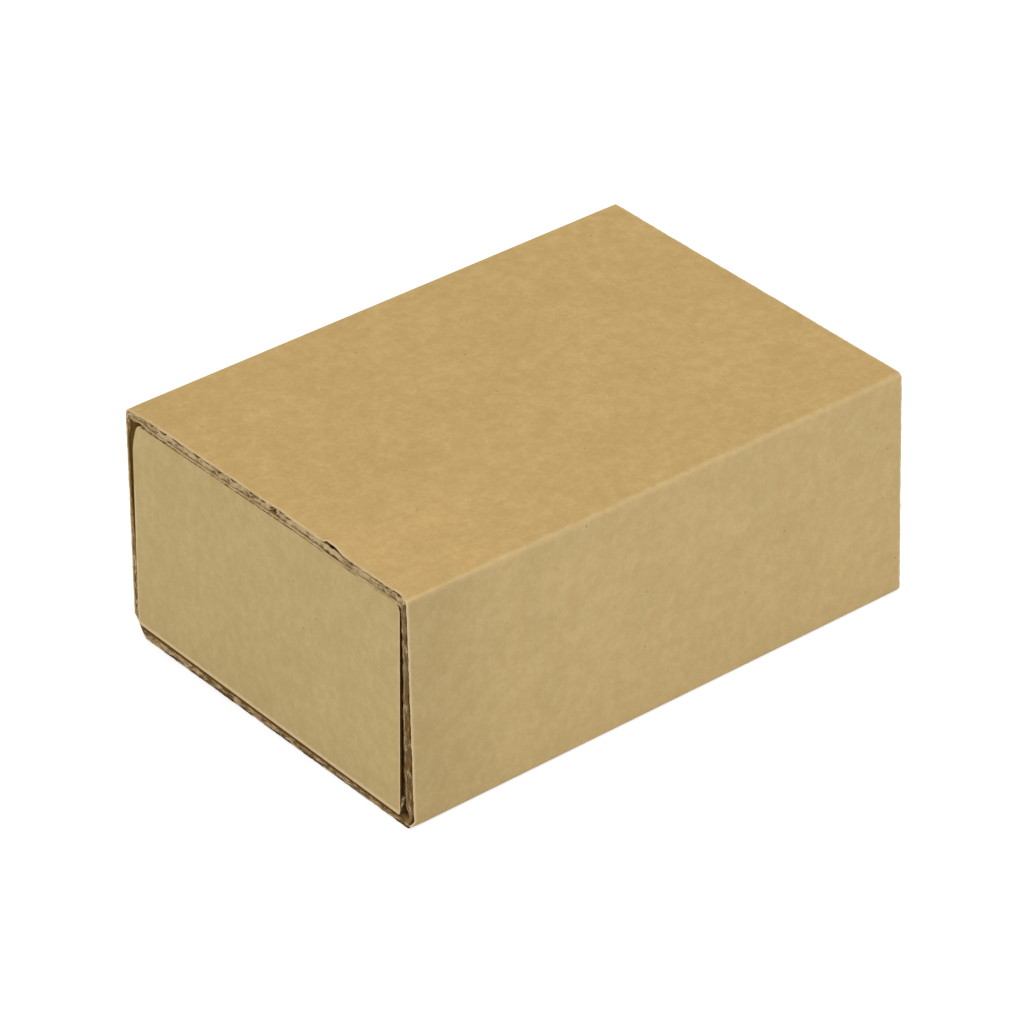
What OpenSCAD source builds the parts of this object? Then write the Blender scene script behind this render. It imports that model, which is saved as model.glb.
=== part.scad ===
// Closed slide box of corrugated board: a racked sleeve with a drawer tray inside it.
// Millimetres. X runs along the length with the shown open end towards -X, Z is up.
// Two folded sheets of single-wall fluted board, one node each.

/* [Box] */
// Length of the sleeve's top panel
sleeve_l = 100; // [80:1:160]
// Width across the two long sides
sleeve_w = 70.2; // [60:0.2:90]
// Height over both panels
sleeve_h = 40.5; // [34:0.5:60]
// How far the top panel leans sideways over the bottom one
rack = 1.7; // [0:0.1:2]
// How far the bottom panel reaches past the top one at the shown end
front_reach = 1.6; // [0:0.1:2]
// How far the near wall's end stands back from the bottom panel's end, at its foot
near_step = 0.8; // [0:0.05:1.5]
// How much further back the near wall's end stands at its top
near_reach = 0.3; // [0:0.05:1]
// Share of its thickness that the bottom panel has lost along the near fold
near_press = 0.4; // [0:0.05:0.4]
// How far the top panel is swollen over its far half
top_swell = 0.36; // [0:0.02:0.4]

/* [Board] */
// Thickness of the board
board_t = 1.6; // [1.5:0.05:2]
// Thickness of one liner sheet
liner_t = 0.25; // [0.2:0.01:0.3]
// Thickness of the fluted medium sheet
medium_t = 0.18; // [0.15:0.01:0.22]
// Distance from flute to flute
flute_pitch = 3.2; // [3:0.1:3.6]
// Outer radius of a fold
fold_r = 0.9; // [0.5:0.05:1.1]
// Outer radius of the sharper fold on the far side of the top panel
far_fold_r = 0.4; // [0.3:0.05:1.1]
// Crushed flat across the far bottom fold
crush_cut = 3.2; // [2.4:0.1:3.2]
// Board left between the two faces of that crushed fold
crush_left = 0.6; // [0.6:0.05:1]

/* [Tray] */
// Gap between the tray's floor and the sleeve's bottom panel along the near side
floor_gap = 0.2; // [0.2:0.05:0.4]
// How much wider that gap is along the far side
far_lift = 0.35; // [0:0.05:0.5]
// Gap between the tray's rim and the sleeve's top panel
rim_gap = 0.25; // [0.2:0.05:1]
// Gap between the tray's far wall and the sleeve's side
side_gap = 0.2; // [0.2:0.05:0.5]
// How much wider the gap on the near side is at the floor
near_slack = 0.8; // [0.1:0.05:0.9]
// How far the rim of the near wall leans in over its foot
near_lean = 1.25; // [0.5:0.05:1.4]
// How far the middle of the shown panel stands out of the sleeve's end
panel_out = 0.2; // [-0.4:0.05:0.2]
// How much further out the far edge of that panel is than its middle
panel_skew = 0.15; // [0:0.05:0.4]
// How far the other panel stands inside the sleeve's end
back_inset = 0.3; // [0.1:0.05:1]
// Radius of the tray's far floor fold and of the panel's near top corner
corner_r = 1.2; // [1.2:0.05:1.5]
// Radius of the folds between the tray's floor and its end panels
end_fold_r = 0.4; // [0.3:0.05:0.9]
// Width and height of the curve on the panel's far top corner
far_corner_w = 1.8; // [1.2:0.1:2.4]
far_corner_h = 8.5; // [2:0.5:12]
// Length of a corner flap behind an end panel
flap_l = 18; // [12:0.5:22]

/* [Hidden] */
kraft = [0.76, 0.64, 0.43];

over = 1;
arc_steps = 4;
fold_sides = 24;
front_slant = atan(front_reach / sleeve_h);
crush_inner = crush_cut + crush_left * sqrt(2) - 2 * board_t;
fold_keep = 2.2;

far_z0 = board_t + floor_gap + far_lift;
near_z0 = board_t * (1 - near_press) + floor_gap;
tray_z1 = sleeve_h - board_t - rim_gap;
tray_h = tray_z1 - far_z0;
floor_far = sleeve_w / 2 - board_t + racked(far_z0) - side_gap;
floor_near = -sleeve_w / 2 + board_t + racked(far_z0) + side_gap + near_slack;
rim_far = floor_far + racked(tray_z1) - racked(far_z0);
rim_near = floor_near + near_lean;
floor_w = floor_far - floor_near;
floor_tilt = atan((far_z0 - near_z0) / floor_w);
panel_turn = asin(2 * panel_skew / floor_w);
flap_rise = 0.6;
flap_drop = 1;
flap_cut = 3;
groove_w = 0.34;
groove_deep = 1.2;
groove_skin = liner_t + 0.12;

// The most that the shown panel stands past the bottom panel's end, at its far lower corner
panel_proud = max(0, panel_out + floor_far * sin(panel_turn)
                     - (far_z0 + end_fold_r) * sin(front_slant));
sleeve_front = -(sleeve_l + front_reach - panel_proud) / 2;
sleeve_back = sleeve_front + sleeve_l + front_reach;

// The medium sheet's wave, in degrees from a crest: where its curve gets a point
wave_rise = (board_t - 2 * liner_t - medium_t) / 2;
wave_stops = [-138, -69, 0, 69, 138];

// Sideways shift of the racked sleeve at height z
function racked(z) = rack * (z / sleeve_h - 0.5);

// The swollen top panel: level over its far half, down to nothing at both ends of swell_run
swell_run = [sleeve_w / 2 - board_t, sleeve_w / 2 - board_t - 2, -0.12 * sleeve_w, -0.28 * sleeve_w];
function swell(y) = top_swell * max(0, min(1, (swell_run[0] - y) / (swell_run[0] - swell_run[1]),
                                           (y - swell_run[3]) / (swell_run[2] - swell_run[3])));

// Puts points of the square sleeve where the racked and swollen one has them
function rack_all(points) =
    [for (p = points) [p[0] + racked(p[1]), p[1] + (p[1] > sleeve_h / 2 ? swell(p[0]) : 0)]];

// Thickness left in the bottom panel at y, as a share of the board's
function pressed(y) = 1 - near_press * (0.5 - y / (sleeve_w - 2 * board_t));

// One flute channel: flat on a liner, curved along the wavy medium. s runs along the sheet
// and the depth runs in from its face. side 0 is under the outer liner, 1 the inner one.
function wave_depth(turn) = liner_t + wave_rise * (1 + cos(turn));
function side_depth(depth, side) = side == 0 ? depth : board_t - depth;
function channel(s, side) = concat(
    [for (turn = [wave_stops[4], wave_stops[0]])
        [s + turn / 360 * flute_pitch, side_depth(liner_t, side)]],
    [for (turn = wave_stops)
        [s + turn / 360 * flute_pitch, side_depth(wave_depth(turn), side)]]);

// Channel centres that fit between two ends of a sheet, on the two sides in turn
function channel_rows(from, to) =
    let (count = floor(2 * (to - from) / flute_pitch) - 1,
         first = (from + to) / 2 - (count - 1) * flute_pitch / 4)
    [for (i = [0 : count - 1]) [first + i * flute_pitch / 2, i % 2]];

// Points of a quarter circle from angle a, about a centre
function quarter(cy, cz, r, a) =
    [for (i = [0 : arc_steps]) [cy + r * cos(a + 90 * i / arc_steps),
                                cz + r * sin(a + 90 * i / arc_steps)]];

// Runs a profile drawn across the box along its length
module along(from, to) {
    translate([from, 0, 0]) rotate([90, 0, 90]) linear_extrude(height = to - from) children();
}

// Places a shape in the frame of the shown end: x inwards, z up the slanted end
module on_front_end() {
    translate([sleeve_front, 0, 0]) rotate([0, front_slant, 0]) children();
}

// Everything outside a plane across the box, down to a depth
module beyond(depth) {
    slab = 4 * front_reach + 4 * over;
    translate([depth - slab, -sleeve_w, -over]) cube([slab, 2 * sleeve_w, 2 * sleeve_h]);
}

// Outline of the sleeve: three rounded folds, the far bottom fold crushed flat
module sleeve_outline() {
    half = sleeve_w / 2;
    polygon(rack_all(concat(
        quarter(half - far_fold_r, sleeve_h - far_fold_r, far_fold_r, 0),
        [for (y = swell_run) [y, sleeve_h]],
        quarter(-half + fold_r, sleeve_h - fold_r, fold_r, 90),
        quarter(-half + fold_r, fold_r, fold_r, 180),
        [[half - crush_cut, 0], [half, crush_cut]])));
}

// Inside of the sleeve: sharp folds, a small flat where the far bottom fold is crushed
module sleeve_inside() {
    half = sleeve_w / 2 - board_t;
    polygon(rack_all(concat(
        [for (y = swell_run) [y, sleeve_h - board_t]],
        [[-half, sleeve_h - board_t], [-half, board_t * pressed(-half)],
         [half - crush_inner, board_t * pressed(half - crush_inner)],
         [half, board_t + crush_inner]])));
}

// Open flutes of the four sleeve walls, seen from the end
module sleeve_flutes() {
    half = sleeve_w / 2;
    crush_keep = crush_cut + fold_keep / 2;
    for (c = channel_rows(-half + fold_keep, half - fold_keep))
        polygon(rack_all([for (p = channel(c[0], c[1])) [p[0], sleeve_h - p[1]]]));
    for (c = channel_rows(-half + fold_keep, half - crush_keep))
        polygon(rack_all([for (p = channel(c[0], c[1])) [p[0], p[1] * pressed(p[0])]]));
    for (c = channel_rows(fold_keep, sleeve_h - fold_keep))
        polygon(rack_all([for (p = channel(c[0], c[1])) [p[1] - half, p[0]]]));
    for (c = channel_rows(crush_keep, sleeve_h - fold_keep))
        polygon(rack_all([for (p = channel(c[0], c[1])) [half - p[1], p[0]]]));
}

// The near wall with its top fold, which the front end cuts along another plane
module near_wall_zone() {
    inner = -sleeve_w / 2 + board_t;
    past = -sleeve_w / 2 - rack - over;
    high = sleeve_h + over;
    along(sleeve_front - over, sleeve_front + near_step + near_reach + front_reach + over)
        polygon([[inner + racked(board_t), board_t], [inner + racked(high), high],
                 [past, high], [past, board_t]]);
}

module front_end_cut() {
    difference() {
        on_front_end() beyond(0);
        near_wall_zone();
    }
    intersection() {
        translate([sleeve_front + near_step, 0, 0]) rotate([0, atan(near_reach / sleeve_h), 0])
            beyond(0);
        near_wall_zone();
    }
}

module sleeve() {
    color(kraft) difference() {
        along(sleeve_front, sleeve_back) difference() {
            sleeve_outline();
            sleeve_inside();
            sleeve_flutes();
        }
        front_end_cut();
    }
}

// Edge lines of the tray at height z
function tray_far(z) = floor_far + (rim_far - floor_far) * (z - far_z0) / tray_h;
function tray_near(z) = floor_near + (rim_near - floor_near) * (z - far_z0) / tray_h;

// Outer shape of the tray across the box, with its two long floor folds. Its rim follows the
// swollen top panel.
module tray_outline() {
    top = tray_z1 + top_swell;
    polygon(concat(
        [[rim_far, tray_z1], [rim_far - far_corner_w, top], [swell_run[2], top],
         [swell_run[3], tray_z1], [rim_near, tray_z1]],
        quarter(tray_near(near_z0 + fold_r) + fold_r, near_z0 + fold_r, fold_r, 180),
        quarter(tray_far(far_z0 + corner_r) - corner_r, far_z0 + corner_r, corner_r, 270)));
}

// Hollow of the tray, open at the rim
module tray_hollow() {
    high = tray_z1 + over;
    polygon([[tray_far(high) - board_t, high], [tray_near(high) + board_t, high],
             [tray_near(near_z0 + board_t) + board_t, near_z0 + board_t],
             [tray_far(far_z0 + board_t) - board_t, far_z0 + board_t]]);
}

// Frames of the two end panels: x = 0 on the panel's outer face, x inwards
module on_front_panel() {
    on_front_end() translate([-panel_out, 0, 0]) rotate([0, 0, panel_turn]) children();
}
module on_back_panel() {
    translate([sleeve_back - back_inset, 0, 0]) mirror([1, 0, 0]) children();
}

// Rounds the fold between the tilted floor and an end panel. slant and start place the panel.
module floor_fold_cut(slant, start) {
    middle = (far_z0 + near_z0) / 2;
    rise = (middle + end_fold_r + (end_fold_r + start) * sin(slant)) / cos(slant);
    translate([0, (floor_far + floor_near) / 2, rise]) rotate([floor_tilt, 0, 0]) difference() {
        translate([-over, -sleeve_w / 2, -end_fold_r - over])
            cube([over + end_fold_r, sleeve_w, end_fold_r + over]);
        translate([end_fold_r, sleeve_w, 0]) rotate([90, 0, 0])
            cylinder(h = 2 * sleeve_w, r = end_fold_r, $fn = fold_sides);
    }
}

// Curves one top corner of an end panel over a width and a height. The panel's edge stands at
// y and its rim at z, side is +1 or -1.
module panel_corner_cut(y, z, side, width, height) {
    translate([-over, y, z]) rotate([90, 0, 90]) linear_extrude(height = over + board_t)
        difference() {
            translate([side * (over - width) / 2, (over - height) / 2])
                square([width + over, height + over], center = true);
            translate([-side * width, -height]) scale([width, height])
                circle(r = 1, $fn = 2 * fold_sides);
        }
}

// Open flutes in the rim of an end panel
module panel_flutes() {
    keep = groove_deep + 2 * liner_t;
    from = max(floor_near, rim_near) + keep;
    to = min(floor_far, rim_far) - keep;
    translate([0, 0, far_z0 + fold_keep]) linear_extrude(height = tray_h)
        for (c = channel_rows(from, to)) polygon([for (p = channel(c[0], c[1])) [p[1], p[0]]]);
}

// The two upright edges of an end panel, cut along a flute: open between the liners
module panel_edge_grooves() {
    translate([groove_skin, 0, 0]) rotate([90, 0, 90])
        linear_extrude(height = board_t - 2 * groove_skin) {
            edge_groove(1);
            edge_groove(-1);
        }
}
module edge_groove(side) {
    low = far_z0 + fold_keep;
    high = tray_z1 - fold_keep;
    low_y = side > 0 ? tray_far(low) : tray_near(low);
    high_y = side > 0 ? tray_far(high) : tray_near(high);
    polygon([[low_y - side * groove_deep, low], [low_y + side * over, low],
             [high_y + side * over, high], [high_y - side * groove_deep, high]]);
}

// The layers in the rim of the long walls, also cut along the flutes
module wall_rim_grooves() {
    reach = 3 * board_t;
    for (depth = [groove_skin, board_t - groove_skin - groove_w])
        for (y = [rim_far - depth - groove_w, rim_near + depth])
            translate([sleeve_front + reach, y, tray_z1 - groove_deep])
                cube([sleeve_back - sleeve_front - 2 * reach, groove_w, groove_deep + over]);
}

// One corner flap, glued behind an end panel and folded from the long wall on its side
module flap(side) {
    low = far_z0 + board_t + flap_rise;
    high = tray_z1 - flap_drop;
    wall = side > 0 ? floor_far : floor_near;
    low_root = (side > 0 ? tray_far(low) : tray_near(low)) - side * board_t / 2;
    high_root = (side > 0 ? tray_far(high) : tray_near(high)) - side * board_t / 2;
    free = wall - side * flap_l;
    glued = board_t - liner_t / 2;
    difference() {
        translate([glued, 0, 0]) rotate([90, 0, 90]) linear_extrude(height = 2 * board_t - glued)
            polygon([[low_root, low], [high_root, high], [free + side * flap_cut / 2, high],
                     [free, high - flap_cut], [free, low + flap_cut],
                     [free + side * flap_cut / 2, low]]);
        translate([board_t, wall - side * 3 * board_t, 0]) rotate([side * 90, 0, 0])
            linear_extrude(height = flap_l)
                for (c = channel_rows(low + flap_cut, high - flap_cut))
                    polygon([for (p = channel(c[0], c[1])) [p[1], side * p[0]]]);
    }
}

module flap_pair() {
    flap(1);
    flap(-1);
}

module end_panel_cuts(slant, start) {
    beyond(0);
    floor_fold_cut(slant, start);
    panel_corner_cut(rim_far, tray_z1 + top_swell, 1, far_corner_w, far_corner_h);
    panel_corner_cut(rim_near, tray_z1, -1, corner_r, corner_r);
    panel_flutes();
    panel_edge_grooves();
}

module tray() {
    color(kraft) union() {
        difference() {
            along(sleeve_front - over, sleeve_back + over) tray_outline();
            difference() {
                along(sleeve_front - over, sleeve_back + over) tray_hollow();
                on_front_panel() beyond(board_t);
                on_back_panel() beyond(board_t);
            }
            on_front_panel() end_panel_cuts(front_slant, -panel_out);
            on_back_panel() end_panel_cuts(0, back_inset);
            wall_rim_grooves();
        }
        on_front_panel() flap_pair();
        on_back_panel() flap_pair();
    }
}

sleeve();
tray();
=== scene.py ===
"""Looks of the closed slide box of kraft corrugated board.

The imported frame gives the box. The tray keeps its exact mesh. The sleeve's board is shown by
three closed sheets, outer liner, wavy medium and inner liner, so that its raw ends can be
crushed, lifted and frayed as they are in the photo. Lengths are in millimetres until a mesh is
made.
"""

import math

import bpy
import numpy as np
from mathutils import Matrix, Vector


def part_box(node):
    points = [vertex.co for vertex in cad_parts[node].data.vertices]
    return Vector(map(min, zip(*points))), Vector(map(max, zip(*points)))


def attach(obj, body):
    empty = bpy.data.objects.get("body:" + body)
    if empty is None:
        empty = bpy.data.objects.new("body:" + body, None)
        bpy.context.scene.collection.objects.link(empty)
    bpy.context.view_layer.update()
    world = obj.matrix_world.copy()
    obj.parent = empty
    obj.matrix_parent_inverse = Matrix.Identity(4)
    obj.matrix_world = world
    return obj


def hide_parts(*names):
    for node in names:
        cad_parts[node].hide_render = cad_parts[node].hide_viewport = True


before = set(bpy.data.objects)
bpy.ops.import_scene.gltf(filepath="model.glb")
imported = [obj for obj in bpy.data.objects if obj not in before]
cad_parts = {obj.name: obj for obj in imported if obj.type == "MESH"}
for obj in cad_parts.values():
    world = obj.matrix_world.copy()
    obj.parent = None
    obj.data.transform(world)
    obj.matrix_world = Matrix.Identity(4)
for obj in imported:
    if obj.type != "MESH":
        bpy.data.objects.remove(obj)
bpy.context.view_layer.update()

MM = 0.001

# Sizes of the sleeve, as in the part's source
SLEEVE_L = 100.0
SLEEVE_W = 70.2
SLEEVE_H = 40.5
RACK = 1.7
FRONT_REACH = 1.6
NEAR_STEP = 0.8
NEAR_REACH = 0.3
NEAR_PRESS = 0.4
TOP_SWELL = 0.36
BOARD_T = 1.6
LINER_T = 0.25
MEDIUM_T = 0.18
FLUTE_PITCH = 3.2
FOLD_R = 0.9
FAR_FOLD_R = 0.4
CRUSH_CUT = 3.2
CRUSH_INNER = 0.849
FRONT_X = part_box("sleeve")[0][0] / MM
BACK_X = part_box("sleeve")[1][0] / MM

# Walls in the order that the sheets run round the sleeve, each from its first corner
TOP, NEAR, BOTTOM, FAR = range(4)
HALF_W = SLEEVE_W / 2
CORNERS = np.array([[HALF_W, SLEEVE_H], [-HALF_W, SLEEVE_H], [-HALF_W, 0], [HALF_W, 0]])
RUNS = np.array([[-1, 0], [0, -1], [1, 0], [0, 1]], float)
INWARDS = np.array([[0, -1], [1, 0], [0, 1], [-1, 0]], float)
LENGTHS = np.array([SLEEVE_W, SLEEVE_H, SLEEVE_W, SLEEVE_H])
STARTS = np.concatenate([[0], np.cumsum(LENGTHS)[:-1]])
ROUND = float(LENGTHS.sum())
CORNER_RADII = np.array([FAR_FOLD_R, FOLD_R, FOLD_R, 0])
CRUSHED_CORNER = 3
SWELL_START = (HALF_W, HALF_W - BOARD_T)
SWELL_LEVEL = (HALF_W - 8.5, HALF_W - BOARD_T - 2.4)
SWELL_END = (-0.12 * SLEEVE_W, -0.28 * SLEEVE_W)


# Curves along the sheet
def wander(s, step, size, seed):
    """Smooth random wave round the sleeve: random heights every step millimetres, joined by
    half-cosine curves, so that it closes on itself."""
    count = int(round(ROUND / step))
    heights = np.random.default_rng(seed).uniform(-size, size, count)
    place = s / ROUND * count
    low = np.floor(place).astype(int)
    mix = 0.5 - 0.5 * np.cos(np.pi * (place - low))
    return heights[low % count] * (1 - mix) + heights[(low + 1) % count] * mix


def hump(value, centre, half_width):
    """One raised cosine of height 1, zero beyond half_width of its centre."""
    near = np.clip(np.abs(value - centre) / half_width, 0, 1)
    return 0.5 + 0.5 * np.cos(np.pi * near)


def fade(value, start, end):
    """Falls smoothly from 1 at start to 0 at end."""
    k = np.clip((value - start) / (end - start), 0, 1)
    return 1 - k * k * (3 - 2 * k)


# The board's two faces round the sleeve
def corner_outer(d, corner):
    """Outer face beside a corner at distance d along the wall, as (along, inward): a quarter
    circle, or a flat across the crushed fold."""
    radius = CORNER_RADII[corner]
    turn = np.pi / 4 * (1 - np.clip(d / np.maximum(radius, 0.01), 0, 1))
    round_along = np.where(d < radius, radius * (1 - np.sin(turn)), d)
    round_in = radius * (1 - np.cos(turn))
    share = np.clip(d / CRUSH_CUT, 0, 1)
    flat_along = np.where(d < CRUSH_CUT, CRUSH_CUT / 2 * (1 + share), d)
    flat_in = CRUSH_CUT / 2 * (1 - share)
    crushed = corner == CRUSHED_CORNER
    return np.where(crushed, flat_along, round_along), np.where(crushed, flat_in, round_in)


def corner_inner(d, corner):
    """Inner face beside a corner: a sharp corner, or a small flat at the crushed fold."""
    share = np.clip(d / CRUSH_CUT, 0, 1)
    start = BOARD_T + CRUSH_INNER / 2
    flat_along = np.where(d < CRUSH_CUT, start + (CRUSH_CUT - start) * share, d)
    flat_in = BOARD_T + np.maximum(BOARD_T + CRUSH_INNER - flat_along, 0)
    sharp_along = np.maximum(d, BOARD_T)
    crushed = corner == CRUSHED_CORNER
    return (np.where(crushed, flat_along, sharp_along),
            np.where(crushed, flat_in, np.full_like(d, BOARD_T)))


def swell(y, face):
    """How far the top panel stands up at y: level over its far half. The outer face, 0, rises
    more gently from the far fold than the inner face, 1."""
    rise = fade(y, SWELL_LEVEL[face], SWELL_START[face])
    return TOP_SWELL * rise * fade(-y, -SWELL_END[0], -SWELL_END[1])


def board_faces(s):
    """Points of the outer and the inner face at distance s round the sleeve, before racking."""
    wall = np.searchsorted(STARTS, s, side="right") - 1
    along = s - STARTS[wall]
    from_end = along > LENGTHS[wall] / 2
    d = np.where(from_end, LENGTHS[wall] - along, along)
    corner = np.where(from_end, (wall + 1) % 4, wall)
    run = RUNS[wall] * np.where(from_end, -1, 1)[:, None]
    faces = []
    for which, shape in enumerate((corner_outer, corner_inner)):
        step, depth = shape(d, corner)
        face = CORNERS[corner] + run * step[:, None] + INWARDS[wall] * depth[:, None]
        face[:, 1] += np.where(face[:, 1] > SLEEVE_H / 2, swell(face[:, 0], which), 0)
        faces.append(face)
    outer, inner = faces
    pressed = 1 - NEAR_PRESS * (0.5 - inner[:, 0] / (SLEEVE_W - 2 * BOARD_T))
    low = inner[:, 1] <= BOARD_T + 1e-6
    inner[:, 1] = np.where(low, inner[:, 1] * pressed, inner[:, 1])
    return outer, inner, wall, d


def racked(points):
    """Leans the profile sideways in step with its height."""
    out = points.copy()
    out[..., 0] += RACK * (points[..., 1] / SLEEVE_H - 0.5)
    return out


# Where the sheets stop, and how their ends are worn
COLUMN_STEP = 0.2
FRONT_ROWS = np.array([0, 0.12, 0.3, 0.55, 0.9, 1.4, 2.1, 3.2, 5, 8])
MIDDLE_ROWS = np.linspace(20, 80, 4)
BACK_ROWS = np.array([8, 3.5, 1.6, 0.8, 0.35, 0.12, 0])

# Thickness of the crushed medium, its room below the outer liner and its wave, one value a wall
RAW_THICK = (1.04, 0.80, 1.0, 0.6)
RAW_GAP = (0.05, 0.20, 0.03, 0.08)
RAW_WAVE = (0.05, 0.26, 0.02, 0.06)

# Places of the wear on the top's raw end, as distances round the sleeve
HOLES_S = (6.0, 9.3, 12.3, 13.8, 18.0, 20.5, 23.5, 27.3, 31.2, 34.4)
LONG_GAP_S = 40.4
BLISTER_S = 51.6
CORNER_BUMP_S = 67.0
TORN_S = 37.0

# How large each of them is, and the wear of the folds and the other walls
BLISTER_LIFT = 0.78
CORNER_BUMP_LIFT = 0.2
TORN_LIFT = 0.1
TEAR_DEPTH = 1.3
HOLE_DEPTH = 0.46
LONG_GAP_DEPTH = 0.34
GROOVE_DEPTH = 0.24
CORNER_PINCH = 0.30
FAR_PINCH_HIGH = 0.25
FAR_PINCH_LOW = 0.4
NEAR_FLARE = 0.65
BACK_PULL = 0.52
BACK_SINK = 0.22
BACK_REACH = 0.33
BLUNT = 0.12


def by_wall(s, values):
    """One value a wall, blended over the last millimetre beside each corner."""
    edges = np.concatenate([STARTS, [ROUND]])
    places = np.column_stack([edges[:-1] + 1.2, edges[1:] - 1.2]).ravel()
    return np.interp(s, places, np.repeat(values, 2), period=ROUND)


def blister(s):
    """The outer liner's blister along the raw end, with a steep and a gentle side."""
    return fade(-s, -BLISTER_S + 0.9, -BLISTER_S + 2.6) * fade(s, BLISTER_S + 0.2, BLISTER_S + 3.6)


def outer_lift(s, x):
    """How far the outer liner stands off: the blister and a few low bumps."""
    lift = BLISTER_LIFT * blister(s) * fade(x, 0.2, 3.6)
    lift += CORNER_BUMP_LIFT * hump(s, CORNER_BUMP_S, 1.5) * fade(x, 0, 1.8)
    lift += TORN_LIFT * hump(s, TORN_S + 1.2, 2.5) * fade(x, 0, 2.2)
    return lift


def open_holes(s):
    """Small lens-shaped holes under the outer liner of the top's raw end, one longer gap, a low
    groove from the blister to the corner, and low ones at random along the other walls."""
    holes = sum(HOLE_DEPTH * hump(s, centre, 1.5) for centre in HOLES_S)
    holes = holes + LONG_GAP_DEPTH * hump(s, LONG_GAP_S, 2.4)
    groove = fade(-s, -BLISTER_S - 2.6, -BLISTER_S - 0.6) * fade(s, CORNER_BUMP_S, STARTS[NEAR])
    holes = holes + (GROOVE_DEPTH + wander(s, 1.5, 0.12, 44)) * groove
    elsewhere = np.clip(wander(s, 1.3, 0.36, 43), 0, 1) * by_wall(s, (0.6, 1, 0, 0.8))
    return np.where(s < STARTS[NEAR], holes, elsewhere)


def pinch(s, x):
    """Share of its thickness that the raw end has lost, most of all at the far top corner."""
    from_corner = np.minimum(s, ROUND - s)
    worst = CORNER_PINCH * fade(from_corner, 3.6, 6.0)
    down = ROUND - s
    far_wall = FAR_PINCH_HIGH * fade(down, 30, 36)
    far_wall += FAR_PINCH_LOW * fade(down, 12, 28) * fade(-down, -5, -2.5)
    return np.maximum(worst, far_wall * (s > ROUND / 2)) * fade(x, 0.3, 4)


def front_end(s, height):
    """X of the front end: a slanted plane, and a steeper one along the near wall."""
    top_share = fade(STARTS[NEAR] - s, 0.8, 2.2)
    foot_share = fade(s - STARTS[BOTTOM], -1.3, -0.3)
    share = top_share * foot_share
    slanted = FRONT_REACH * height / SLEEVE_H
    near_wall = NEAR_STEP + NEAR_REACH * height / SLEEVE_H
    far_wall = by_wall(s, (0, 0, 0, 1)) * (0.2 - 0.45 * height / SLEEVE_H)
    return FRONT_X + slanted * (1 - share) + near_wall * share + far_wall


def pulled_in(s, x):
    """Y offset of the outer face beside the far top fold, growing to the back end."""
    from_corner = np.where(s < ROUND / 2, s, ROUND - s)
    reach = np.where(s < ROUND / 2, 9.0, 16.0)
    return -BACK_PULL * fade(from_corner, 0.5, reach) * x / SLEEVE_L


def blunted(s, x):
    """How far the near bottom fold is worn in, both ways, at its raw front end."""
    return BLUNT * hump(s, STARTS[BOTTOM], 1.5) * fade(x, 0, 2.5)


def back_end(s):
    """X of the back end, which reaches out a little at the far top corner."""
    from_corner = np.minimum(s, ROUND - s)
    return BACK_X + BACK_REACH * (0.67 * fade(from_corner, 0, 10) + 0.33 * fade(from_corner, 0, 40))


def sheet_points(depth_front, depth_back, fray, s):
    """Closed grid of one sheet: columns round the sleeve, and rows that run from the front end
    to the back on the sheet's outer side, then back on its inner side. depth_front(s, x, side)
    gives the depth below the outer face at distance x from the front end, depth_back from the
    back end, and fray(s, side) how far the front edge is worn back."""
    outer, inner, _, _ = board_faces(s)
    swollen = swell(outer[:, 0], 0) / TOP_SWELL * (outer[:, 1] > SLEEVE_H / 2)

    def section(t, x):
        p = racked(outer + (inner - outer) * (t / BOARD_T)[:, None])
        outward = np.clip(1 - t / BOARD_T, 0, 1)
        p[:, 0] += pulled_in(s, x) * outward
        p[:, 1] -= BACK_SINK * swollen * x / SLEEVE_L * outward
        p += (blunted(s, x) * outward)[:, None]
        p[:, 1] = np.maximum(p[:, 1], 0)
        return p

    rows = []
    for side in (0, 1):
        block = []
        for x in FRONT_ROWS:
            p = section(depth_front(s, x, side), x)
            worn = fray(s, side) * fade(x, 0, 1.6)
            block.append(np.column_stack([front_end(s, p[:, 1]) + x + worn, p]))
        for x in MIDDLE_ROWS:
            p = section(depth_front(s, x, side), x)
            block.append(np.column_stack([np.full_like(s, FRONT_X + x), p]))
        for x in BACK_ROWS:
            p = section(depth_back(s, x, side), SLEEVE_L - x)
            worn = np.maximum(fray(ROUND - s, side), 0) * fade(x, 0, 1.6)
            block.append(np.column_stack([back_end(s) - x - worn, p]))
        rows += block if side == 0 else block[::-1]
    return np.stack(rows, axis=1)


def flute_wave(s, size):
    """Height of the medium between the liners, from 0 at the outer one to 1 at the inner one: a
    cosine of the flute pitch with a wandering phase, pressed flat beside the folds."""
    _, _, _, d = board_faces(s)
    phase = 2 * np.pi * (s / FLUTE_PITCH) + wander(s, 7.3, 0.9, 11)
    tall = size * (1 + wander(s, 2.9, 0.2, 12)) * fade(-d, -3.0, -1.2)
    return 0.5 + 0.5 * tall * np.cos(phase) + wander(s, 4.1, 0.16, 13) * (1.1 - size)


def outer_depth(s, x, side):
    t = side * LINER_T + wander(s, 1.7, 0.05, 21) * fade(x, 0, 2.5)
    return t - outer_lift(s, x)


def near_flare(s):
    """How far the near wall's raw end has spread inwards, growing down to its foot."""
    down = s - STARTS[NEAR]
    return NEAR_FLARE * fade(-down, -32, -8) * fade(down, SLEEVE_H - 2.8, SLEEVE_H - 1.6)


def inner_depth(s, x, side):
    t = BOARD_T * (1 - pinch(s, x)) - LINER_T * (1 - side)
    sag = by_wall(s, (0.15, 0.05, 0.0, 0.0)) + wander(s, 7.8, 0.06, 31) + wander(s, 1.9, 0.04, 32)
    return t + (sag + near_flare(s)) * fade(x, 0, 6)


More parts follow.
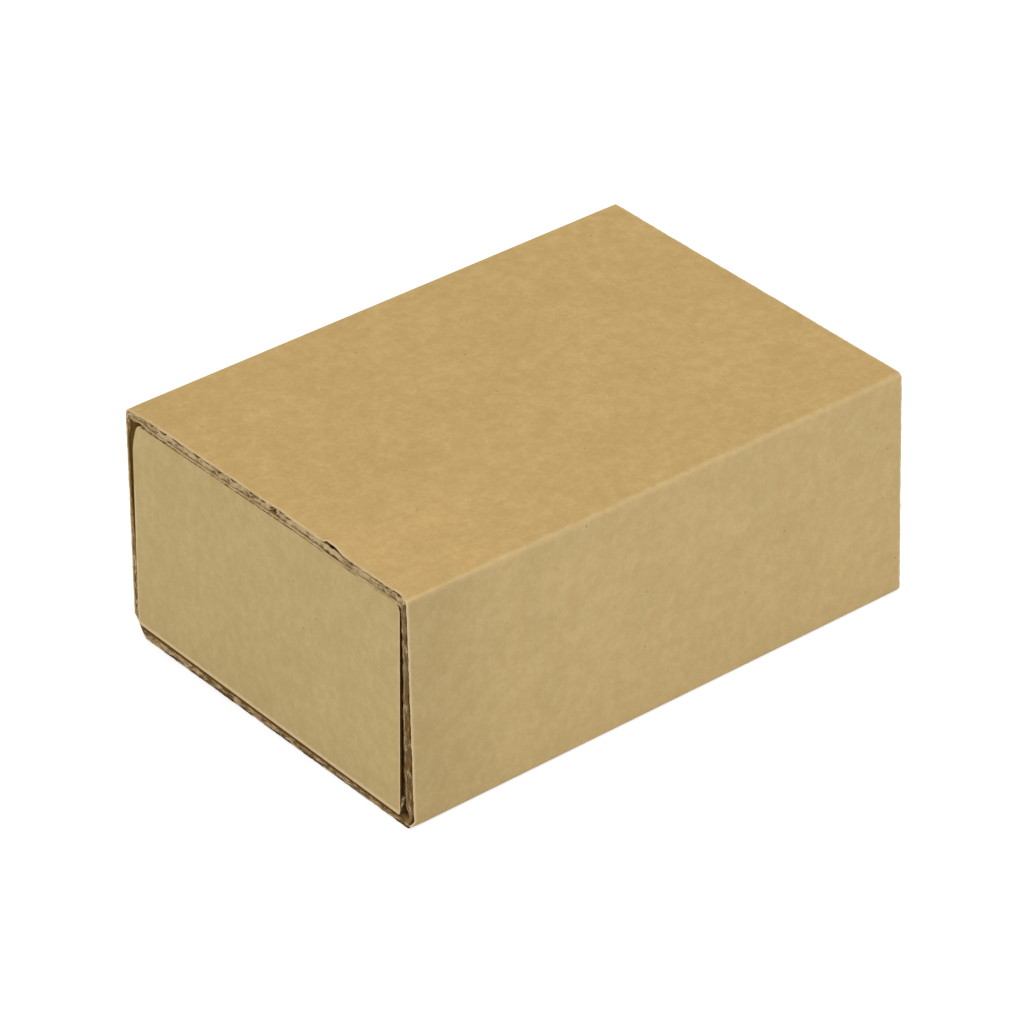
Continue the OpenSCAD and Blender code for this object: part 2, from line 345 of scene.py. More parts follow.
def medium_depth(s, x, side):
    """The medium is a wave that fills the room between the liners. Its raw end is crushed to a
    thick low band, close under the outer liner but for the open holes, and it stays behind where
    the blister lifts."""
    crushed = fade(x, 0.15, 1.1)
    top = outer_depth(s, x, 1) + outer_lift(s, x)
    room = np.maximum(inner_depth(s, x, 0) - top, 0.05)
    wave = (room - MEDIUM_T) * np.clip(flute_wave(s, 0.95), 0, 1)
    gap = by_wall(s, RAW_GAP) + open_holes(s) + wander(s, 0.9, 1.0, 41) * by_wall(s, RAW_WAVE)
    thick = by_wall(s, RAW_THICK) + wander(s, 1.4, 0.10, 42) + near_flare(s)
    gap = np.clip(gap, 0, room)
    thick = np.clip(thick, 0.1, np.maximum(room - gap, 0.1))
    start = wave * (1 - crushed) + gap * crushed
    return top + start + side * (MEDIUM_T * (1 - crushed) + thick * crushed)


def back_outer_depth(s, x, side):
    return side * LINER_T + wander(s, 2.1, 0.03, 51) * fade(x, 0, 2.5)


def back_inner_depth(s, x, side):
    return BOARD_T - LINER_T * (1 - side) + (wander(s, 5.0, 0.05, 52) - 0.05) * fade(x, 0, 4)


def back_medium_depth(s, x, side):
    top = back_outer_depth(s, x, 1)
    room = back_inner_depth(s, x, 0) - top - MEDIUM_T
    return top + room * np.clip(flute_wave(s, 0.85), 0, 1) + MEDIUM_T * side


def outer_fray(s, side):
    return 0.04 + wander(s, 0.6, 0.04, 61)


def medium_fray(s, side):
    torn = TEAR_DEPTH * hump(s, TORN_S, 1.1)
    return 0.16 + wander(s, 0.7, 0.15, 62) + torn


def inner_fray(s, side):
    return by_wall(s, (-0.15, 0.1, 0.1, 0.1)) + wander(s, 1.1, 0.08, 63)


def build_sheet(name, points, slots):
    """Mesh of a closed grid of points in millimetres. The rows that turn over the two raw ends
    are flat and take the second material."""
    columns, rows = points.shape[:2]
    i, j = np.meshgrid(np.arange(columns), np.arange(rows), indexing="ij")
    i2, j2 = (i + 1) % columns, (j + 1) % rows
    quads = np.stack([i * rows + j, i2 * rows + j, i2 * rows + j2, i * rows + j2], axis=-1)
    mesh = bpy.data.meshes.new(name)
    mesh.vertices.add(columns * rows)
    mesh.vertices.foreach_set("co", (points * MM).astype(np.float32).ravel())
    mesh.loops.add(columns * rows * 4)
    mesh.loops.foreach_set("vertex_index", quads.ravel().astype(np.int32))
    mesh.polygons.add(columns * rows)
    mesh.polygons.foreach_set("loop_start", np.arange(0, columns * rows * 4, 4, dtype=np.int32))
    over_end = (j == rows - 1) | (j == rows // 2 - 1)
    mesh.polygons.foreach_set("material_index", over_end.astype(np.int32).ravel())
    mesh.update(calc_edges=True)
    mesh.polygons.foreach_set("use_smooth", (~over_end).ravel())
    mesh.validate()
    for material in slots:
        mesh.materials.append(material)
    piece = bpy.data.objects.new(name, mesh)
    bpy.context.scene.collection.objects.link(piece)
    return piece


def vertex_value(piece, name, values):
    """Stores one number a point on the mesh for its material to read."""
    layer = piece.data.attributes.new(name, "FLOAT", "POINT")
    layer.data.foreach_set("value", values.astype(np.float32).ravel())


# Node helpers
def node(tree, kind, **values):
    made = tree.nodes.new(kind)
    for key, value in values.items():
        setattr(made, key, value)
    return made


def put(tree, socket, value):
    """Links a socket to another, or sets its constant."""
    if isinstance(value, bpy.types.NodeSocket):
        tree.links.new(value, socket)
    elif hasattr(socket.default_value, "__len__") and not hasattr(value, "__len__"):
        socket.default_value = [value] * len(socket.default_value)
    else:
        socket.default_value = value


def math_node(tree, operation, a, b=0.0, clamp=False):
    made = node(tree, "ShaderNodeMath", operation=operation, use_clamp=clamp)
    put(tree, made.inputs[0], a)
    put(tree, made.inputs[1], b)
    return made.outputs[0]


def sum_nodes(tree, first, *rest):
    total = first
    for value in rest:
        total = math_node(tree, "ADD", total, value)
    return total


def scaled(tree, value, factor):
    return math_node(tree, "MULTIPLY", value, factor)


def noise(tree, place, scale, detail=2.0, rough=0.5, stretch=None, turn=0.0):
    """Noise of about one wave per 1/scale millimetres, stretched and turned where asked."""
    if stretch is not None:
        mapping = node(tree, "ShaderNodeMapping")
        put(tree, mapping.inputs["Vector"], place)
        mapping.inputs["Rotation"].default_value = (turn, turn, turn)
        mapping.inputs["Scale"].default_value = stretch
        place = mapping.outputs[0]
    made = node(tree, "ShaderNodeTexNoise")
    put(tree, made.inputs["Vector"], place)
    made.inputs["Scale"].default_value = scale
    made.inputs["Detail"].default_value = detail
    made.inputs["Roughness"].default_value = rough
    return made.outputs[0]


def ramp(tree, value, low, high, out_low=0.0, out_high=1.0):
    """Maps low..high to out_low..out_high with a smooth step."""
    made = node(tree, "ShaderNodeMapRange", interpolation_type="SMOOTHSTEP")
    put(tree, made.inputs["Value"], value)
    made.inputs["From Min"].default_value = low
    made.inputs["From Max"].default_value = high
    made.inputs["To Min"].default_value = out_low
    made.inputs["To Max"].default_value = out_high
    return made.outputs[0]


def blend_colour(tree, share, a, b, mode="MIX"):
    made = node(tree, "ShaderNodeMix", data_type="RGBA", blend_type=mode)
    put(tree, made.inputs[0], share)
    put(tree, made.inputs[6], (*a, 1) if isinstance(a, tuple) else a)
    put(tree, made.inputs[7], (*b, 1) if isinstance(b, tuple) else b)
    return made.outputs[2]


def millimetres(tree):
    """Object coordinates in millimetres."""
    place = node(tree, "ShaderNodeTexCoord")
    larger = node(tree, "ShaderNodeVectorMath", operation="SCALE")
    put(tree, larger.inputs[0], place.outputs["Object"])
    larger.inputs["Scale"].default_value = 1 / MM
    return larger.outputs[0]


def attribute(tree, name):
    made = node(tree, "ShaderNodeAttribute", attribute_name=name, attribute_type="GEOMETRY")
    return made.outputs["Fac"]


def shader(name):
    """A new material with its tree, its principled node and its output."""
    made = bpy.data.materials.new(name)
    made.use_nodes = True
    tree = made.node_tree
    tree.nodes.clear()
    out = node(tree, "ShaderNodeOutputMaterial")
    bsdf = node(tree, "ShaderNodeBsdfPrincipled")
    put(tree, out.inputs[0], bsdf.outputs[0])
    bsdf.inputs["Specular IOR Level"].default_value = PAPER_SHINE
    return made, tree, bsdf


# Colours, linear
KRAFT_TOP = (0.545, 0.372, 0.150)
KRAFT_PANEL = (0.608, 0.447, 0.198)
# Rubbed folds, with a painted highlight on the folds and along the raw ends
RUB_AND_HIGHLIGHT = (0.70, 0.54, 0.31)
RAW_LIGHT = (0.66, 0.48, 0.25)
RAW_DARK = (0.19, 0.115, 0.042)
LINER_LIGHT = (0.82, 0.62, 0.34)
LINER_DARK = (0.54, 0.37, 0.165)
# Painted highlight along the end panels' edges
PANEL_EDGE_HIGHLIGHT = (0.84, 0.63, 0.35)
# Painted shade for cut edges in narrow gaps
SIDE_CUT_LIGHT = (0.22, 0.125, 0.05)
SIDE_CUT_DARK = (0.075, 0.030, 0.005)
# Painted shade in flutes, gaps and under the blister
DEEP_SHADE = (0.19, 0.092, 0.016)
DARKEST_SHADE = (0.06, 0.024, 0.004)
# Painted shade on the inner liner's face inside the sleeve
INSIDE_SHADE = (0.35, 0.195, 0.055)
SPECK = (0.16, 0.10, 0.045)
HAIR = (0.30, 0.19, 0.08)
PAPER_ROUGH = 0.82
PAPER_SHINE = 0.18


def paper_colour(tree, place, base, mottle=1.0):
    """Kraft liner: clouds, blotches and grain, rare dark specks and dark hairs. Returns the
    colour and the fibre height."""
    clouds = noise(tree, place, 0.13, 2, 0.5)
    blotches = noise(tree, place, 0.50, 3, 0.6)
    grain = noise(tree, place, 1.5, 3, 0.7)
    fibres = noise(tree, place, 3.4, 2, 0.6, stretch=(0.7, 1.1, 1.1), turn=0.8)
    total = 0.0
    for part, size in ((clouds, 0.20), (blotches, 0.26), (grain, 0.36), (fibres, 0.14)):
        centred = math_node(tree, "SUBTRACT", part, 0.5)
        total = math_node(tree, "ADD", total, scaled(tree, centred, size))
    brighter = math_node(tree, "ADD", scaled(tree, total, mottle), 1.0)
    colour = blend_colour(tree, 1.0, base, brighter, "MULTIPLY")
    tint = ramp(tree, blotches, 0.30, 0.65, 0.40, 0.0)
    colour = blend_colour(tree, tint, colour, (base[0] * 0.95, base[1] * 0.90, base[2] * 0.76))
    specks = node(tree, "ShaderNodeTexVoronoi", feature="F1")
    put(tree, specks.inputs["Vector"], place)
    specks.inputs["Scale"].default_value = 0.22
    rare = ramp(tree, specks.outputs["Distance"], 0.025, 0.055, 0.5, 0.0)
    colour = blend_colour(tree, rare, colour, SPECK)
    hairs = noise(tree, place, 1.5, 1, 0.5, stretch=(0.5, 2.6, 2.6), turn=0.7)
    colour = blend_colour(tree, ramp(tree, hairs, 0.70, 0.78, 0.0, 0.25), colour, HAIR)
    return colour, math_node(tree, "ADD", fibres, scaled(tree, grain, 0.6))


def paper_bump(tree, bsdf, height, strength=0.25, distance=0.04):
    bump = node(tree, "ShaderNodeBump")
    bump.inputs["Strength"].default_value = strength
    bump.inputs["Distance"].default_value = distance * MM
    put(tree, bump.inputs["Height"], height)
    put(tree, bsdf.inputs["Normal"], bump.outputs[0])


def liner_paper(name, base, shine):
    """The sleeve's two liners: kraft paper, lighter along the folds (partly rubbed, partly a
    painted highlight) and with a painted highlight along the raw ends, and dark with painted shade
    where the sheet faces a flute or the inside of the sleeve. shine is its specular level."""
    made, tree, bsdf = shader(name)
    bsdf.inputs["Specular IOR Level"].default_value = shine
    place = millimetres(tree)
    calmer = scaled(tree, attribute(tree, "upright"), -0.32)
    colour, height = paper_colour(tree, place, base, math_node(tree, "ADD", calmer, 1.0))
    # Lighter along the folds: partly rubbed, partly a painted highlight
    rub = ramp(tree, noise(tree, place, 0.9, 3, 0.6), 0.25, 0.75, 0.35, 1.0)
    worn = math_node(tree, "MULTIPLY", attribute(tree, "fold"), rub)
    colour = blend_colour(tree, scaled(tree, worn, 0.28), colour, RUB_AND_HIGHLIGHT)
    # Painted shade on the near wall's front, painted light on the top's near front corner
    shade = math_node(tree, "SUBTRACT", 1.0, scaled(tree, attribute(tree, "shade"), 0.08))
    colour = blend_colour(tree, 1.0, colour, shade, "MULTIPLY")
    # Painted highlight along the raw ends
    colour = blend_colour(tree, scaled(tree, attribute(tree, "rim"), 0.8), colour, RUB_AND_HIGHLIGHT)
    # Painted shade on the inner liner's face inside the sleeve
    colour = blend_colour(tree, attribute(tree, "inside"), colour, INSIDE_SHADE)
    # Painted shade in the flutes and the gaps
    colour = blend_colour(tree, attribute(tree, "deep"), colour, DEEP_SHADE)
    put(tree, bsdf.inputs["Base Color"], colour)
    bsdf.inputs["Roughness"].default_value = PAPER_ROUGH
    paper_bump(tree, bsdf, height)
    return made


def raw_paper(name, light, dark, depth=None, tone=None, deepest=DEEP_SHADE):
    """Torn and cut edges: pale loose fibres over brown, at the scale of the papers' thickness.
    depth turns it to deepest, a painted shade, inside a flute. tone makes it browner, and comes
    with the edge's own coordinates, so that the fibres run along the edge."""
    made, tree, bsdf = shader(name)
    place = millimetres(tree)
    flecks = noise(tree, place, 3.6, 4, 0.7)
    patches = noise(tree, place, 0.9, 2, 0.5)
    share = math_node(tree, "ADD", flecks, scaled(tree, patches, 0.6))
    if tone is not None:
        edge_place = node(tree, "ShaderNodeCombineXYZ")
        put(tree, edge_place.inputs[0], scaled(tree, attribute(tree, "along"), 0.6))
        put(tree, edge_place.inputs[1], scaled(tree, attribute(tree, "under"), 5.0))
        streaks = noise(tree, edge_place.outputs[0], 1.0, 4, 0.65)
        share = sum_nodes(tree, scaled(tree, share, 0.32), scaled(tree, streaks, 1.15),
                          scaled(tree, attribute(tree, tone), -0.3))
    colour = blend_colour(tree, ramp(tree, share, 0.68, 0.93), dark, light)
    if depth is not None:
        colour = blend_colour(tree, depth(tree), colour, deepest)
    put(tree, bsdf.inputs["Base Color"], colour)
    bsdf.inputs["Roughness"].default_value = 1.0
    bsdf.inputs["Specular IOR Level"].default_value = 0.0
    paper_bump(tree, bsdf, flecks, 0.5, 0.10)
    return made


# The tray's outline, as in the part's source
FLOOR_GAP = 0.2
FAR_LIFT = 0.35
RIM_GAP = 0.25
SIDE_GAP = 0.2
NEAR_SLACK = 0.8
NEAR_LEAN = 1.25
PANEL_OUT = 0.2
PANEL_SKEW = 0.15
BACK_INSET = 0.3
FAR_CORNER_W = 1.8
FAR_CORNER_H = 8.5
FLAP_L = 18
FLAP_CUT = 0.7
FAR_Z0 = BOARD_T + FLOOR_GAP + FAR_LIFT
NEAR_Z0 = BOARD_T * (1 - NEAR_PRESS) + FLOOR_GAP
RIM_Z = SLEEVE_H - BOARD_T - RIM_GAP
FLOOR_FAR = HALF_W - BOARD_T + RACK * (FAR_Z0 / SLEEVE_H - 0.5) - SIDE_GAP
FLOOR_NEAR = -HALF_W + BOARD_T + RACK * (FAR_Z0 / SLEEVE_H - 0.5) + SIDE_GAP + NEAR_SLACK
FAR_SLOPE = RACK / SLEEVE_H
NEAR_SLOPE = NEAR_LEAN / (RIM_Z - FAR_Z0)
FLOOR_SLOPE = (FAR_Z0 - NEAR_Z0) / (FLOOR_FAR - FLOOR_NEAR)


def panel_edges(tree):
    """Distances from the far, the near and the floor edge of an end panel, and from its rim,
    in millimetres. The far edge curves in at its top along a quarter ellipse."""
    axes = node(tree, "ShaderNodeSeparateXYZ")
    put(tree, axes.inputs[0], millimetres(tree))
    y, z = axes.outputs[1], axes.outputs[2]
    rise = math_node(tree, "SUBTRACT", z, FAR_Z0)
    far = sum_nodes(tree, FLOOR_FAR, scaled(tree, rise, FAR_SLOPE), scaled(tree, y, -1))
    near = sum_nodes(tree, y, -FLOOR_NEAR, scaled(tree, rise, -NEAR_SLOPE))
    floor_edge = sum_nodes(tree, rise, FLOOR_SLOPE * FLOOR_FAR, scaled(tree, y, -FLOOR_SLOPE))
    across = math_node(tree, "SUBTRACT", 1.0, scaled(tree, far, 1 / FAR_CORNER_W), clamp=True)
    high = RIM_Z + TOP_SWELL - FAR_CORNER_H
    up_curve = scaled(tree, math_node(tree, "SUBTRACT", z, high), 1 / FAR_CORNER_H)
    up_curve = math_node(tree, "MAXIMUM", up_curve, 0.0)
    reach = math_node(tree, "SQRT", sum_nodes(tree, math_node(tree, "POWER", across, 2.0),
                                              math_node(tree, "POWER", up_curve, 2.0)))
    inside = scaled(tree, math_node(tree, "SUBTRACT", 1.0, reach), FAR_CORNER_W)
    curved = math_node(tree, "GREATER_THAN", up_curve, 0.0)
    cut = math_node(tree, "MULTIPLY", curved, math_node(tree, "GREATER_THAN", across, 0.0))
    far = sum_nodes(tree, math_node(tree, "MULTIPLY", far, math_node(tree, "SUBTRACT", 1.0, cut)),
                    math_node(tree, "MULTIPLY", inside, cut))
    rim = math_node(tree, "SUBTRACT", RIM_Z + TOP_SWELL, z)
    flap_free = sum_nodes(tree, math_node(tree, "ABSOLUTE", y), FLAP_L + FLAP_CUT - FLOOR_FAR)
    return far, near, floor_edge, rim, flap_free


def tray_depth(tree):
    """How deep a point of the tray's board lies behind its nearest cut edge, as a share. The cut
    edge's paper turns to painted shade with it.
    """
    far, near, floor_edge, rim, flap_free = panel_edges(tree)
    share = ramp(tree, rim, 1.5, 6.0)
    for distance in (far, near, math_node(tree, "ABSOLUTE", flap_free)):
        share = math_node(tree, "MINIMUM", share, ramp(tree, distance, 0.1, 0.9))
    return share


def panel_paper(name, base):
    """Outside of the tray's end panels: kraft liner, lighter along three edges with a painted
    highlight.
    """
    made, tree, bsdf = shader(name)
    place = millimetres(tree)
    colour, height = paper_colour(tree, place, base, 0.8)
    far, near, floor_edge, rim, flap_free = panel_edges(tree)
    nearest = sum_nodes(tree, far, 0.1, ramp(tree, rim, 9.0, 12.0, 1.0, 0.0))
    nearest = math_node(tree, "MINIMUM", nearest, sum_nodes(tree, near, 0.15))
    nearest = math_node(tree, "MINIMUM", nearest, sum_nodes(tree, floor_edge, -0.5))
    wavy = scaled(tree, noise(tree, place, 0.8, 2, 0.5), 0.3)
    # Painted highlight along the far, the near and the floor edge
    worn = ramp(tree, math_node(tree, "SUBTRACT", nearest, wavy), 0.0, 0.45, 0.8, 0.0)
    put(tree, bsdf.inputs["Base Color"], blend_colour(tree, worn, colour, PANEL_EDGE_HIGHLIGHT))
    bsdf.inputs["Roughness"].default_value = PAPER_ROUGH
    paper_bump(tree, bsdf, height)
    return made


def tray_paper(name, base):
    """The tray's walls, floor and flaps. The upright cut edges of its end panels lie in the same
    planes as its long walls, and are painted near black with open flutes, a painted shade for the
    gap they face."""
    made, tree, bsdf = shader(name)
    place = millimetres(tree)
    colour, height = paper_colour(tree, place, base)
    axes = node(tree, "ShaderNodeSeparateXYZ")
    put(tree, axes.inputs[0], place)
    slope = FRONT_REACH / SLEEVE_H
    from_front = sum_nodes(tree, axes.outputs[0], PANEL_OUT - FRONT_X,
                           scaled(tree, axes.outputs[2], -slope))
    from_back = math_node(tree, "SUBTRACT", BACK_X - BACK_INSET, axes.outputs[0])
    from_end = math_node(tree, "MINIMUM", from_front, from_back)
    facing = node(tree, "ShaderNodeSeparateXYZ")
    put(tree, facing.inputs[0], node(tree, "ShaderNodeNewGeometry").outputs["True Normal"])
    sideways = math_node(tree, "GREATER_THAN",
                         math_node(tree, "ABSOLUTE", facing.outputs[1]), 0.8)
    at_end = math_node(tree, "LESS_THAN", from_end, BOARD_T + 0.3)
    cut = math_node(tree, "MULTIPLY", sideways, at_end)
    # The upright cut edges get painted shade
    colour = blend_colour(tree, cut, colour, side_cut_shade_colour(tree, place))
    put(tree, bsdf.inputs["Base Color"], colour)
    bsdf.inputs["Roughness"].default_value = 0.86
    paper_bump(tree, bsdf, height)
    return made


def side_cut_shade_colour(tree, place):
    """Painted shade for a cut edge in a narrow gap: almost black open flutes with torn brown
    fibres.
    """
    flecks = noise(tree, place, 2.6, 4, 0.7)
    return blend_colour(tree, ramp(tree, flecks, 0.55, 0.72), SIDE_CUT_DARK, SIDE_CUT_LIGHT)


def side_cut_paper(name):
    """The curved cut edge of an end panel and what stands behind it, painted near black as shade.
    """
    made, tree, bsdf = shader(name)
    put(tree, bsdf.inputs["Base Color"], side_cut_shade_colour(tree, millimetres(tree)))
    bsdf.inputs["Roughness"].default_value = 1.0
    bsdf.inputs["Specular IOR Level"].default_value = 0.0
    return made


# Build the sleeve's three sheets
def from_attribute(name):
    return lambda tree: attribute(tree, name)


sleeve_paper = liner_paper("sleeve_board", KRAFT_TOP, PAPER_SHINE)
lining_paper = liner_paper("sleeve_lining", KRAFT_TOP, 0.0)
cut_paper = raw_paper("sleeve_cut_edge", LINER_LIGHT, LINER_DARK, from_attribute("deep"), "tone",
                      DARKEST_SHADE)
medium_paper = raw_paper("fluted_medium", RAW_LIGHT, RAW_DARK, from_attribute("deep"), "tone")
columns = (np.arange(round(ROUND / COLUMN_STEP)) + 0.5) * COLUMN_STEP
_, _, column_wall, corner_distance = board_faces(columns)
LINER_TONES = np.array([0.0, -0.6, 0.1, 0.3])
INNER_TONES = np.array([-0.10, 0.42, 0.17, 0.10])
wear = wander(columns, 2.3, 0.25, 71) - 0.8 * blister(columns)
wear -= 2.5 * hump(columns, TORN_S - 1.2, 0.4)
# Dashes of painted shadow on the bottom's raw end and painted shade on the near wall's
dashes = np.clip(0.75 + wander(columns, 1.6, 1.0, 72), 0, 1)
near_dashes = np.clip(0.45 + wander(columns, 1.3, 1.0, 73), 0, 1)
under_wall = np.isin(column_wall, (BOTTOM, FAR))

SHEETS = (
    ("sleeve_outer_liner", outer_depth, back_outer_depth, outer_fray, sleeve_paper, LINER_TONES),
    ("sleeve_medium", medium_depth, back_medium_depth, medium_fray, medium_paper, INNER_TONES),
    ("sleeve_inner_liner", inner_depth, back_inner_depth, inner_fray, lining_paper, INNER_TONES))


def deep_places(name, from_front, behind_end, in_flute, outer_side):
    """Share of the darkest tone, a painted shade: inside the flutes and under the blister, on the
    inner liner's raw end where it faces down or away, and in dashes on the bottom's and the near
    wall's ends."""
    deep = (1 - np.exp(-behind_end / 0.7)) * in_flute
    deep = np.maximum(deep, 0.95 * (from_front > 0.06) * in_flute * blister(columns)[:, None])
    if name == "sleeve_inner_liner":
        deep = np.maximum(deep, 0.9 * (under_wall[:, None] & (behind_end < 0.3)))
    if name == "sleeve_outer_liner":
        # Painted shadow in dashes along the bottom's raw end
        dark = dashes * (column_wall == BOTTOM)
        deep = np.maximum(deep, dark[:, None] * (from_front < 0.3))
    if name == "sleeve_medium":
        # Painted shade in dashes in the near wall's gap
        dark = near_dashes * (column_wall == NEAR)
        deep = np.maximum(deep, dark[:, None] * outer_side)
    return deep


def shaded(x):
    """How much painted shade darkens the outside: the near wall towards its front end. Below zero
    it is painted light, on the top towards the near front corner."""
    dim = 1.6 * (column_wall == NEAR)[:, None] * fade(x - FRONT_X, 2, 26)
    lit = (column_wall == TOP)[:, None] * fade(STARTS[NEAR] - columns, 6, 40)[:, None]
    return dim - 0.6 * lit * fade(x - FRONT_X, 5, 40)


def paper_values(piece, name, grid, wall_tones):
    """Stores what the papers read: where the sheet is rubbed and has a painted highlight, where it
    is dark with painted shade, or hidden inside the sleeve under painted shade, where painted light
    falls, where it is browner, and the cut edge's own coordinates."""
    rows = grid.shape[1]
    first_half = np.arange(rows) < rows // 2
    outer_side = np.tile(first_half, (len(columns), 1))
    from_front = grid[..., 0] - grid[..., 0].min(axis=1, keepdims=True)
    from_back = grid[..., 0].max(axis=1, keepdims=True) - grid[..., 0]
    behind_end = np.minimum(from_front, from_back)
    shown = outer_side & (name == "sleeve_outer_liner")
    indoors = ~outer_side & (name == "sleeve_inner_liner")
    in_flute = ~shown & ~indoors
    # Folds: partly rubbed, partly a painted highlight
    fold = np.exp(-(corner_distance / 0.5) ** 2)[:, None]
    upright = np.isin(column_wall, (NEAR, FAR))
    tones = wall_tones[column_wall] + wear
    vertex_value(piece, "fold", fold * shown)
    # Painted highlight along the raw ends
    vertex_value(piece, "rim", np.exp(-(behind_end / 0.2) ** 2))
    # Painted shade inside the sleeve
    vertex_value(piece, "inside", (1 - np.exp(-behind_end / 0.3)) * indoors)
    # Painted shade in flutes, gaps and under the blister
    vertex_value(piece, "deep", deep_places(name, from_front, behind_end, in_flute, outer_side))
    vertex_value(piece, "tone", np.tile(tones[:, None], (1, rows)))
    vertex_value(piece, "along", np.tile(columns[:, None], (1, rows)))
    vertex_value(piece, "under", np.tile(np.where(first_half, 0, 0.5), (len(columns), 1)))
    vertex_value(piece, "upright", np.tile(upright[:, None], (1, rows)))
    # Painted shade and painted light on the outer liner
    vertex_value(piece, "shade", shaded(grid[..., 0]) * shown)


for name, front, back, fray, paper, wall_tones in SHEETS:
    grid = sheet_points(front, back, fray, columns)
    cut = cut_paper if name == "sleeve_outer_liner" else medium_paper
    piece = build_sheet(name, grid, (paper, cut))
    paper_values(piece, name, grid, wall_tones)
    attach(piece, "sleeve")
    if name == "sleeve_outer_liner":
        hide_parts("sleeve")


# The tray keeps its mesh. Its cut edges and its two end panels get their own papers.
def tray_materials(tray):
    """Sorts the tray's faces by where they lie in the thickness of an end panel's board."""
    faces = tray.data.polygons
    normals = np.empty(len(faces) * 3, np.float32)
    centres = np.empty(len(faces) * 3, np.float32)
    faces.foreach_get("normal", normals)
    faces.foreach_get("center", centres)
    normals = normals.reshape(-1, 3)
    centres = centres.reshape(-1, 3) / MM
    slant = math.atan(FRONT_REACH / SLEEVE_H)
    turn = math.asin(2 * PANEL_SKEW / (FLOOR_FAR - FLOOR_NEAR))
    tilted = Matrix.Rotation(slant, 3, "Y")
    inwards = tilted @ Matrix.Rotation(turn, 3, "Z") @ Vector((1, 0, 0))
    start = Vector((FRONT_X, 0, 0)) + tilted @ Vector((-PANEL_OUT, 0, 0))
    front_depth = (centres - np.array(start)) @ np.array(inwards)
    back_depth = BACK_X - BACK_INSET - centres[:, 0]
    depth = np.minimum(front_depth, back_depth)
    facing_out = np.where(front_depth < back_depth, -normals @ np.array(inwards), normals[:, 0])
    panel = (depth < 0.1) & (facing_out > 0.5)
    upright = np.abs(normals[:, 2]) < 0.5
    sides = np.abs(centres[:, 1]) > 30
    in_panel = (depth > 0.1) & (depth < BOARD_T - 0.1) & upright & (np.abs(facing_out) < 0.99)
    groove = (depth > 0.3) & (depth < BOARD_T - 0.3)
    edge = in_panel & (np.abs(normals[:, 1]) > 0.2)
    edge |= (np.abs(depth - BOARD_T) < 0.1) & (facing_out > 0.9)
    in_flap = (depth > BOARD_T + 0.2) & (depth < 2 * BOARD_T - 0.2) & ~sides
    rim = (normals[:, 2] > 0.7) & (centres[:, 2] > RIM_Z - 1.3)
    kinds = np.zeros(len(faces), np.int32)
    kinds[panel] = 1
    kinds[(in_panel | groove | in_flap | rim) & ~panel] = 2
    kinds[edge & ~groove & ~rim] = 3
    tray.data.materials.clear()
    for material in (tray_paper("tray_board", KRAFT_PANEL),
                     panel_paper("tray_panel", KRAFT_PANEL),
                     # Cut edges darken to painted shade deeper behind the edge
                     raw_paper("tray_cut_edge", RAW_LIGHT, RAW_DARK, depth=tray_depth),
                     # Cut edges in gaps, painted near black as shade
                     side_cut_paper("tray_side_cut_shade")):
        tray.data.materials.append(material)
    faces.foreach_set("material_index", kinds)


tray_materials(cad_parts["tray"])


# Camera, at the photo's viewpoint
CAMERA_AT = (-0.473797, -0.565229, 0.500426)
CAMERA_FORWARD = (0.537361, 0.641934, -0.546958)
CAMERA_RIGHT = (0.766805, -0.641880, 0.0)
FOCAL_PIXELS = 5544.08
PHOTO_PIXELS = 1024
forward = Vector(CAMERA_FORWARD).normalized()
right = Vector(CAMERA_RIGHT).normalized()
up = right.cross(forward)
camera_data = bpy.data.cameras.new("photo_camera")
camera_data.sensor_width = 36
camera_data.lens = FOCAL_PIXELS / PHOTO_PIXELS * camera_data.sensor_width
camera_data.clip_start = 0.01
camera = bpy.data.objects.new("photo_camera", camera_data)
camera.matrix_world = Matrix.Translation(CAMERA_AT) @ Matrix(
    (right, up, -forward)).transposed().to_4x4()
bpy.context.scene.collection.objects.link(camera)
bpy.context.scene.camera = camera


# Light: a white tent, a warm lamp high above and a broad cool one before the near wall
TENT_LEVEL = 0.775
TENT_SEEN = 0.25
FLOOR_REACH = 3.0
FLOOR_DROP = 0.00005
FLOOR_GREY = 0.85
FLOOR_SEEN = 0.5


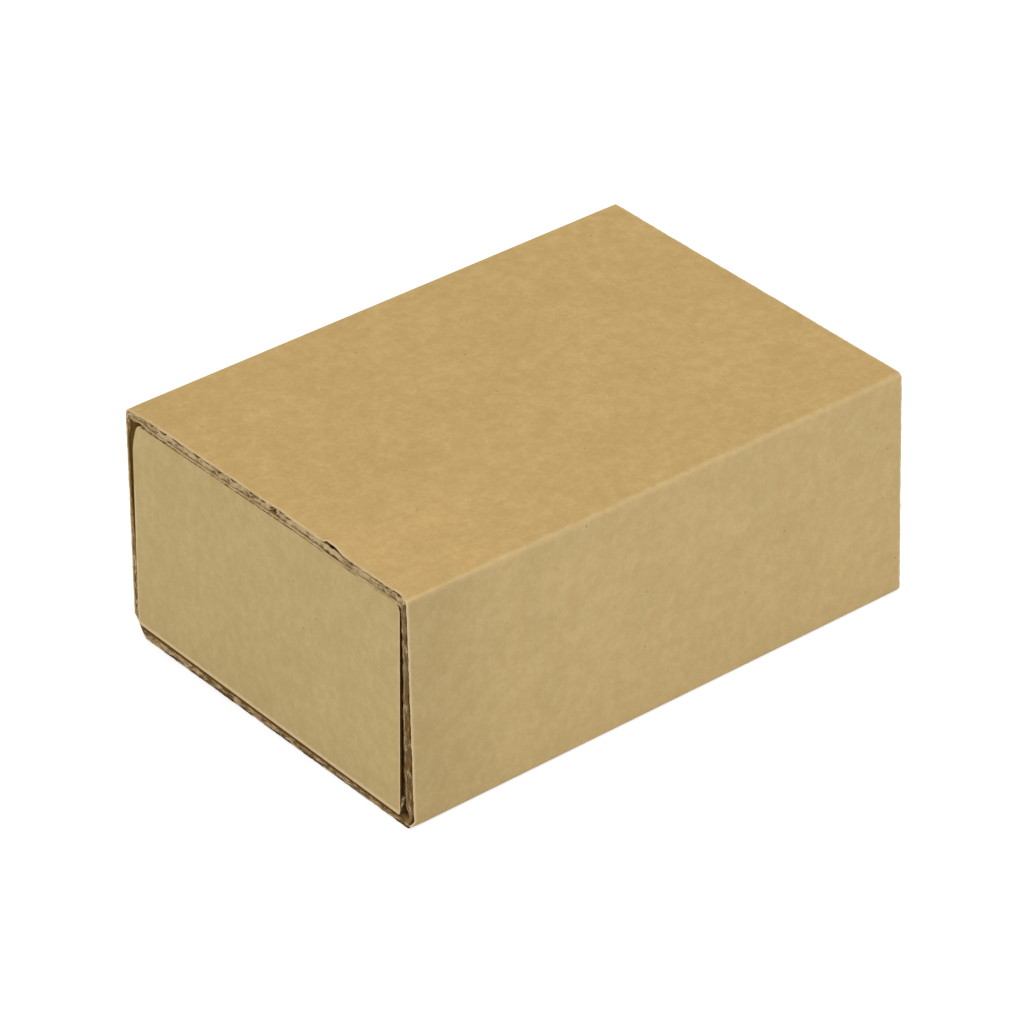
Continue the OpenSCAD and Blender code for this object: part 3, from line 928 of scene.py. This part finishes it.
def area_light(name, at, aim, size, watts, colour):
    data = bpy.data.lights.new(name, "AREA")
    data.shape = "DISK"
    data.size = size
    data.energy = watts
    data.color = colour
    lamp = bpy.data.objects.new(name, data)
    lamp.location = at
    lamp.rotation_euler = (Vector(aim) - Vector(at)).to_track_quat("-Z", "Y").to_euler()
    bpy.context.scene.collection.objects.link(lamp)
    return lamp


area_light("key", (0.15, -0.35, 1.1), (0, 0, 0.02), 0.5, 2.5, (1.0, 0.74, 0.24))
area_light("fill", (-0.15, -1.05, 0.38), (0, 0, 0.02), 0.7, 4.4, (0.28, 0.52, 1.0))

world = bpy.data.worlds.new("white_tent")
world.use_nodes = True
bpy.context.scene.world = world
tree = world.node_tree
tree.nodes.clear()
world_out = node(tree, "ShaderNodeOutputWorld")
path = node(tree, "ShaderNodeLightPath")
tent = node(tree, "ShaderNodeBackground")
tent.inputs["Color"].default_value = (1.0, 1.016, 1.04, 1)
seen = scaled(tree, path.outputs["Is Camera Ray"], TENT_SEEN)
put(tree, tent.inputs["Strength"], math_node(tree, "ADD", seen, TENT_LEVEL))
put(tree, world_out.inputs[0], tent.outputs[0])

floor_mesh = bpy.data.meshes.new("floor")
corners = [(side_x * FLOOR_REACH, side_y * FLOOR_REACH, -FLOOR_DROP)
           for side_x, side_y in ((-1, -1), (1, -1), (1, 1), (-1, 1))]
floor_mesh.from_pydata(corners, [], [(0, 1, 2, 3)])
floor = bpy.data.objects.new("floor", floor_mesh)
bpy.context.scene.collection.objects.link(floor)
floor_paint = bpy.data.materials.new("floor_paint")
floor_paint.use_nodes = True
tree = floor_paint.node_tree
tree.nodes.clear()
floor_out = node(tree, "ShaderNodeOutputMaterial")
matt = node(tree, "ShaderNodeBsdfDiffuse")
matt.inputs["Color"].default_value = (FLOOR_GREY, FLOOR_GREY, FLOOR_GREY, 1)
path = node(tree, "ShaderNodeLightPath")
glow = node(tree, "ShaderNodeEmission")
put(tree, glow.inputs["Strength"], scaled(tree, path.outputs["Is Camera Ray"], FLOOR_SEEN))
both = node(tree, "ShaderNodeAddShader")
put(tree, both.inputs[0], matt.outputs[0])
put(tree, both.inputs[1], glow.outputs[0])
put(tree, floor_out.inputs[0], both.outputs[0])
floor_mesh.materials.append(floor_paint)

bpy.context.scene.view_settings.view_transform = "Standard"

bpy.context.view_layer.update()
